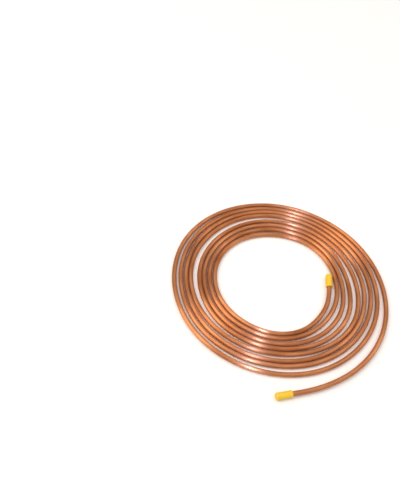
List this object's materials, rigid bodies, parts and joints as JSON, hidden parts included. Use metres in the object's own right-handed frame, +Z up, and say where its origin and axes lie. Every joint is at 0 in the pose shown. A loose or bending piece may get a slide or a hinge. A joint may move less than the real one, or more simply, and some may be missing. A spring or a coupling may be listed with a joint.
{
  "type": "copper tube coil",
  "caption": "Soft copper tube wound as a flat, single-layer spiral coil with an open eye, with a plastic cap pushed over each free end.",
  "frame": {"origin": "middle of the coil's eye, on the floor that the coil lies on", "axes": "+Z up, square to the coil's flat side; +X towards the side of the eye where the inner end lies; +Y away from the side where the outer end lies"},
  "size_m": [0.4518, 0.4979, 0.0139],
  "materials": {
    "copper": "drawn and annealed, lightly tarnished copper",
    "yellow_plastic": "moulded polyethylene"
  },
  "bodies": {
    "root": {"copper_tube": "copper", "inner_end_cap": "yellow_plastic", "outer_end_cap": "yellow_plastic"}
  },
  "joints": []
}
